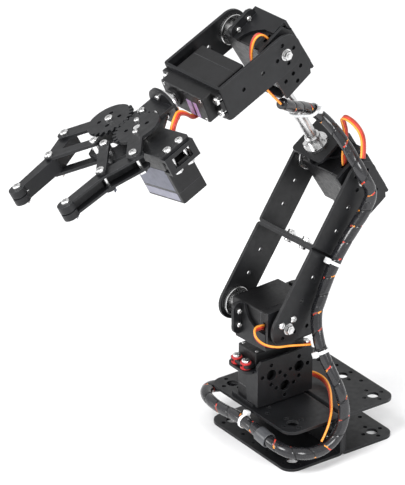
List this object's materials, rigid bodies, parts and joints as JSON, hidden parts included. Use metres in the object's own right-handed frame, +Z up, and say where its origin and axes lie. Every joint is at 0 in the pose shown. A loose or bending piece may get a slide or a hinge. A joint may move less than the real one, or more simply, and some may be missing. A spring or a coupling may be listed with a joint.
{
  "type": "desktop robot arm",
  "caption": "Desktop robot arm of bent black aluminium sheet and hobby servos: turning base, two long links, rotating wrist and a geared two-finger gripper.",
  "frame": {"origin": "centre of the base's underside", "axes": "+X the way the arm reaches at yaw 0, +Z up, +Y to the left of that reach"},
  "size_m": [0.2735, 0.1117, 0.3115],
  "materials": {
    "black_sheet": "satin black anodised",
    "silver_aluminium": "bright machined",
    "servo_plastic": "moulded, fine texture",
    "steel": "bright stainless",
    "red_rubber": "soft red rubber",
    "black_wrap": "glossy spiral wrap with white nylon ties",
    "lead": "three-colour ribbon lead",
    "drive_metal": "motor can, circuit board and gears",
    "grey_sleeve": "flat grey sleeve"
  },
  "bodies": {
    "base": {"base_channel_front": "black_sheet", "base_channel_rear": "black_sheet", "base_bracket": "black_sheet", "base_servo_case": "servo_plastic", "base_servo_covers": "servo_plastic", "base_servo_drive": "drive_metal", "base_grommets": "red_rubber", "base_fasteners": "steel", "base_cable": "black_wrap", "cable_sleeve": "grey_sleeve", "yaw_cable": "black_wrap"},
    "turret": {"yaw_horn": "silver_aluminium", "shoulder_bracket": "black_sheet", "shoulder_servo_case": "servo_plastic", "shoulder_servo_covers": "servo_plastic", "shoulder_servo_drive": "drive_metal", "turret_fasteners": "steel", "turret_lead": "lead", "shoulder_cable": "black_wrap"},
    "upper_arm": {"lower_arm_channel": "black_sheet", "upper_arm_channel": "black_sheet", "arm_horns": "silver_aluminium", "arm_fasteners": "steel", "arm_cable": "black_wrap", "elbow_cable": "black_wrap"},
    "forearm": {"elbow_bracket": "black_sheet", "wrist_bracket": "black_sheet", "forearm_servo_case": "servo_plastic", "forearm_servo_covers": "servo_plastic", "forearm_servo_drive": "drive_metal", "tube_brackets": "black_sheet", "tube_hubs": "silver_aluminium", "forearm_tube": "silver_aluminium", "forearm_fasteners": "steel", "forearm_cable": "black_wrap"},
    "wrist": {"wrist_horn": "silver_aluminium", "wrist_fork": "black_sheet", "roll_servo_case": "servo_plastic", "roll_servo_covers": "servo_plastic", "roll_servo_drive": "drive_metal", "wrist_fasteners": "steel", "gripper_lead": "lead"},
    "hand": {"roll_horn": "silver_aluminium", "hand_bracket": "black_sheet", "palm_plate": "black_sheet", "gripper_mount": "black_sheet", "gripper_servo_case": "servo_plastic", "gripper_servo_covers": "servo_plastic", "gripper_servo_drive": "drive_metal", "hand_fasteners": "steel"},
    "right_gear_arm": {"right_gear_arm": "black_sheet", "gripper_horn": "silver_aluminium"},
    "left_gear_arm": {"left_gear_arm": "black_sheet"},
    "right_link": {"right_link": "black_sheet"},
    "left_link": {"left_link": "black_sheet"},
    "right_finger": {"right_finger": "black_sheet", "right_finger_bolts": "steel"},
    "left_finger": {"left_finger": "black_sheet", "left_finger_bolts": "steel"}
  },
  "joints": [
    {"name": "yaw", "type": "hinge", "parent": "base", "child": "turret", "pos_m": [0.0095, -0.0095, 0.0775], "axis": [0, 0, 1], "range_deg": [-90, 90], "deforming": ["yaw_cable"]},
    {"name": "shoulder", "type": "hinge", "parent": "turret", "child": "upper_arm", "pos_m": [0.03097, -0.00698, 0.09325], "axis": [-0.075, 0.9972, 0], "range_deg": [-40, 75], "deforming": ["shoulder_cable"]},
    {"name": "elbow", "type": "hinge", "parent": "upper_arm", "child": "forearm", "pos_m": [-0.03188, -0.01171, 0.18194], "axis": [0.075, -0.9972, 0], "range_deg": [-30, 90], "deforming": ["elbow_cable"]},
    {"name": "wrist_pitch", "type": "hinge", "parent": "forearm", "child": "wrist", "pos_m": [0.03686, -0.00654, 0.29097], "axis": [0.075, -0.9972, 0], "range_deg": [-30, 60]},
    {"name": "wrist_roll", "type": "hinge", "parent": "wrist", "child": "hand", "pos_m": [0.10463, -0.01157, 0.26272], "axis": [0.9193, 0.0691, -0.3875], "range_deg": [-90, 90], "deforming": ["gripper_lead"]},
    {"name": "gripper", "type": "hinge", "parent": "hand", "child": "right_gear_arm", "pos_m": [0.13765, 0.00428, 0.26104], "axis": [-0.3934, 0.1943, -0.8986], "range_deg": [-5, 44]},
    {"name": "left_gear", "type": "hinge", "parent": "hand", "child": "left_gear_arm", "pos_m": [0.13724, -0.02625, 0.25462], "axis": [-0.3934, 0.1943, -0.8986], "range_deg": [-44, 5]},
    {"name": "right_link_pivot", "type": "hinge", "parent": "hand", "child": "right_link", "pos_m": [0.15655, -0.00383, 0.25102], "axis": [-0.3934, 0.1943, -0.8986], "range_deg": [-5, 44]},
    {"name": "left_link_pivot", "type": "hinge", "parent": "hand", "child": "left_link", "pos_m": [0.1564, -0.01528, 0.24861], "axis": [-0.3934, 0.1943, -0.8986], "range_deg": [-44, 5]},
    {"name": "right_finger_pivot", "type": "hinge", "parent": "right_gear_arm", "child": "right_finger", "pos_m": [0.15496, 0.03054, 0.25191], "axis": [-0.3934, 0.1943, -0.8986], "range_deg": [-44, 5]},
    {"name": "left_finger_pivot", "type": "hinge", "parent": "left_gear_arm", "child": "left_finger", "pos_m": [0.15392, -0.04704, 0.23559], "axis": [-0.3934, 0.1943, -0.8986], "range_deg": [-5, 44]}
  ],
  "couplings": [
    {"joint": "left_gear", "follows": "gripper", "ratio": -1},
    {"joint": "right_link_pivot", "follows": "gripper", "ratio": 1},
    {"joint": "left_link_pivot", "follows": "gripper", "ratio": -1},
    {"joint": "right_finger_pivot", "follows": "gripper", "ratio": -1},
    {"joint": "left_finger_pivot", "follows": "gripper", "ratio": 1}
  ]
}
